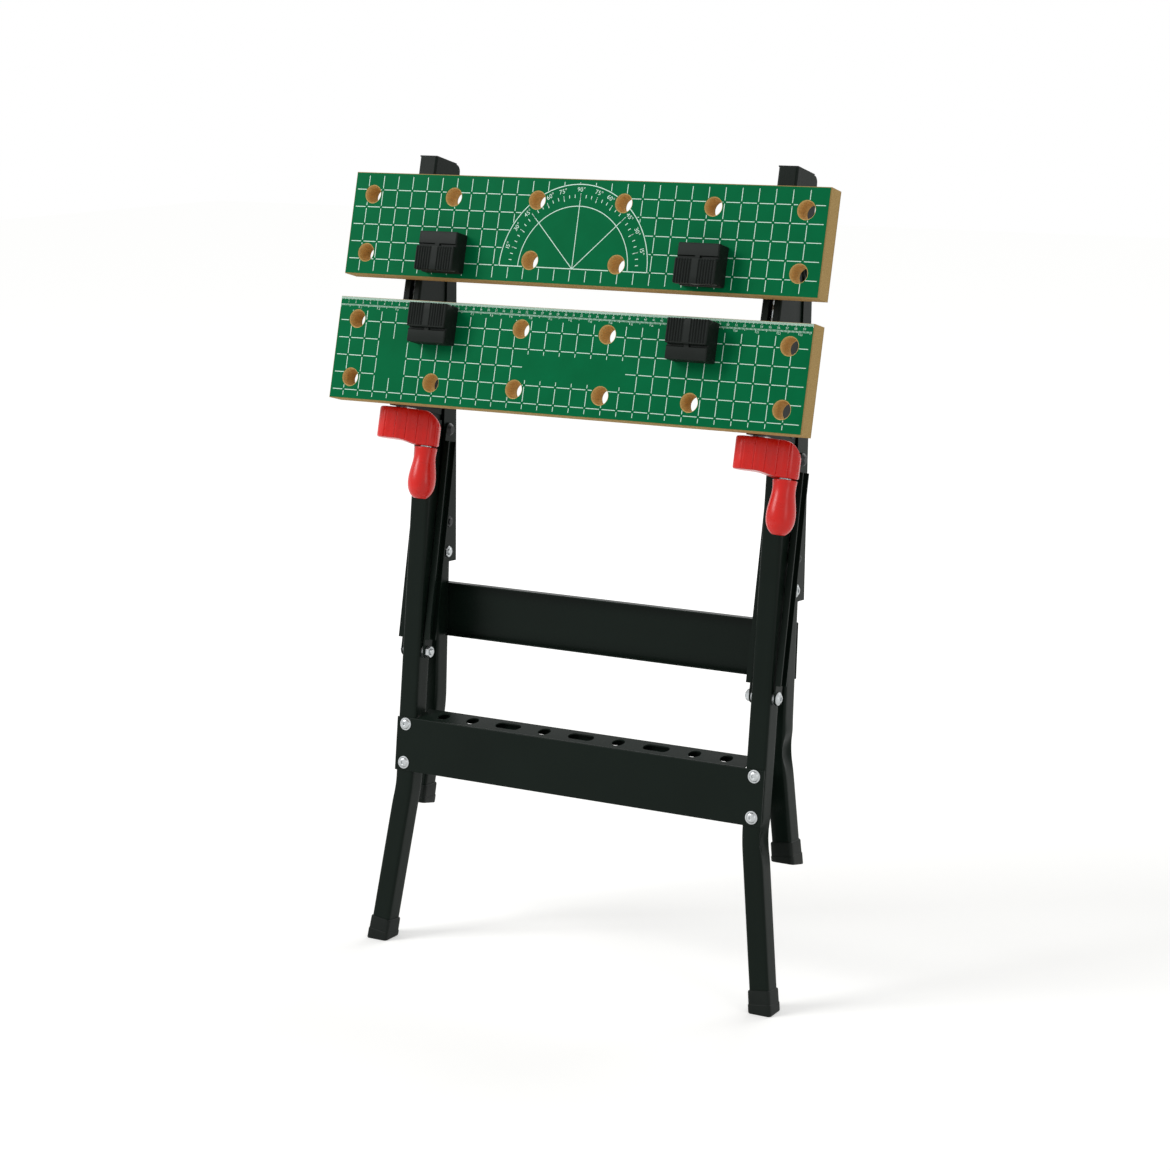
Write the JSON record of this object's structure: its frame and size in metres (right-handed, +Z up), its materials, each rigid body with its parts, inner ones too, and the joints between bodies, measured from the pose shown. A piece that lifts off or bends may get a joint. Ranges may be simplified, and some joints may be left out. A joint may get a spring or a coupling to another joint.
{
  "type": "folding clamping workbench",
  "caption": "Folding workbench stored upright: two drilled clamping jaws on slotted rails, crank-driven vice, lift-out bench dogs, hinged steel legs with a tool shelf.",
  "frame": {"origin": "on the floor, under the middle of the stored bench's bounding box", "axes": "+X along the jaws to the right seen from the printed faces, +Y from the printed faces to the back, +Z up"},
  "size_m": [0.602, 0.1602, 0.9251],
  "materials": {
    "jaw_board": "green printed and lacquered fibreboard with raw tan edges",
    "black_paint": "semi-gloss black powder coat",
    "black_plastic": "moulded, satin",
    "red_plastic": "moulded, glossy",
    "zinc_steel": "zinc plated"
  },
  "bodies": {
    "front_frame": {"front_leg_left": "black_paint", "front_leg_plug_left": "black_paint", "front_foot_left": "black_plastic", "front_leg_right": "black_paint", "front_leg_plug_right": "black_paint", "front_foot_right": "black_plastic", "tool_shelf_beam": "black_paint", "tool_shelf_bolts": "zinc_steel", "strut_lower_bolts": "zinc_steel", "strut_washers": "zinc_steel"},
    "top_frame": {"front_jaw": "jaw_board", "rail_left": "black_paint", "rail_cap_left": "black_plastic", "front_jaw_block_left": "black_plastic", "thrust_plate_left": "zinc_steel", "tail_plate_left": "zinc_steel", "rail_right": "black_paint", "rail_cap_right": "black_plastic", "front_jaw_block_right": "black_plastic", "thrust_plate_right": "zinc_steel", "tail_plate_right": "zinc_steel", "front_jaw_screws": "zinc_steel", "front_block_bolts": "zinc_steel", "front_pivot_bolts": "zinc_steel", "rear_pivot_bolts": "zinc_steel"},
    "rear_frame": {"rear_leg_left": "black_paint", "rear_leg_channel_left": "black_paint", "rear_foot_left": "black_plastic", "rear_leg_right": "black_paint", "rear_leg_channel_right": "black_paint", "rear_foot_right": "black_plastic", "rear_cross_beam": "black_paint", "rear_leg_bolts": "zinc_steel", "cross_beam_bolts": "zinc_steel"},
    "struts": {"strut_left_outer": "black_paint", "strut_left_inner": "black_paint", "strut_right_outer": "black_paint", "strut_right_inner": "black_paint", "strut_rivets": "zinc_steel"},
    "rear_jaw": {"rear_jaw": "jaw_board", "rear_jaw_block_left": "black_plastic", "travelling_nut_left": "zinc_steel", "rear_jaw_block_right": "black_plastic", "travelling_nut_right": "zinc_steel", "rear_jaw_screws": "zinc_steel"},
    "left_crank": {"lead_screw_left": "zinc_steel", "crank_arm_left": "red_plastic", "knob_pin_left": "zinc_steel"},
    "right_crank": {"lead_screw_right": "zinc_steel", "crank_arm_right": "red_plastic", "knob_pin_right": "zinc_steel"},
    "left_knob": {"knob_left": "red_plastic"},
    "right_knob": {"knob_right": "red_plastic"},
    "dog_rear_left": {"dog_rear_left": "black_plastic"},
    "dog_rear_right": {"dog_rear_right": "black_plastic"},
    "dog_front_left": {"dog_front_left": "black_plastic"},
    "dog_front_right": {"dog_front_right": "black_plastic"}
  },
  "joints": [
    {"name": "top_fold", "type": "hinge", "parent": "front_frame", "child": "top_frame", "pos_m": [0, 0.02812, 0.6386], "axis": [-1, 0, 0], "range_deg": [0, 75.6]},
    {"name": "rear_leg_fold", "type": "hinge", "parent": "top_frame", "child": "rear_frame", "pos_m": [0, 0.05808, 0.81159], "axis": [1, 0, 0], "range_deg": [0, 87.95]},
    {"name": "strut_fold", "type": "hinge", "parent": "front_frame", "child": "struts", "pos_m": [0, -0.00763, 0.34739], "axis": [-1, 0, 0], "range_deg": [0, 55.57]},
    {"name": "left_crank_turn", "type": "hinge", "parent": "top_frame", "child": "left_crank", "pos_m": [-0.23, -0.03205, 0.63908], "axis": [0, 0.2487, 0.9686], "range_deg": [-5590, 2350]},
    {"name": "right_crank_turn", "type": "hinge", "parent": "top_frame", "child": "right_crank", "pos_m": [0.23, -0.03205, 0.63908], "axis": [0, 0.2487, 0.9686], "range_deg": [-5590, 2350]},
    {"name": "rear_jaw_slide", "type": "slide", "parent": "top_frame", "child": "rear_jaw", "axis": [0, -0.2487, -0.9686], "range_m": [-0.062, 0.026]},
    {"name": "left_knob_spin", "type": "hinge", "parent": "left_crank", "child": "left_knob", "pos_m": [-0.19998, -0.02641, 0.59686], "axis": [0, 0.2487, 0.9686], "continuous": true},
    {"name": "right_knob_spin", "type": "hinge", "parent": "right_crank", "child": "right_knob", "pos_m": [0.26002, -0.02641, 0.59686], "axis": [0, 0.2487, 0.9686], "continuous": true},
    {"name": "dog_rear_left_lift", "type": "slide", "parent": "rear_jaw", "child": "dog_rear_left", "axis": [0, -0.9686, 0.2487], "range_m": [0, 0.042]},
    {"name": "dog_rear_right_lift", "type": "slide", "parent": "rear_jaw", "child": "dog_rear_right", "axis": [0, -0.9686, 0.2487], "range_m": [0, 0.042]},
    {"name": "dog_front_left_lift", "type": "slide", "parent": "top_frame", "child": "dog_front_left", "axis": [0, -0.9686, 0.2487], "range_m": [0, 0.042]},
    {"name": "dog_front_right_lift", "type": "slide", "parent": "top_frame", "child": "dog_front_right", "axis": [0, -0.9686, 0.2487], "range_m": [0, 0.042]}
  ],
  "couplings": [
    {"joint": "rear_leg_fold", "follows": "top_fold", "ratio": 1.1632},
    {"joint": "strut_fold", "follows": "top_fold", "ratio": 0.73477},
    {"joint": "left_crank_turn", "follows": "rear_jaw_slide", "rad_per_m": 1570.8},
    {"joint": "right_crank_turn", "follows": "rear_jaw_slide", "rad_per_m": 1570.8}
  ]
}
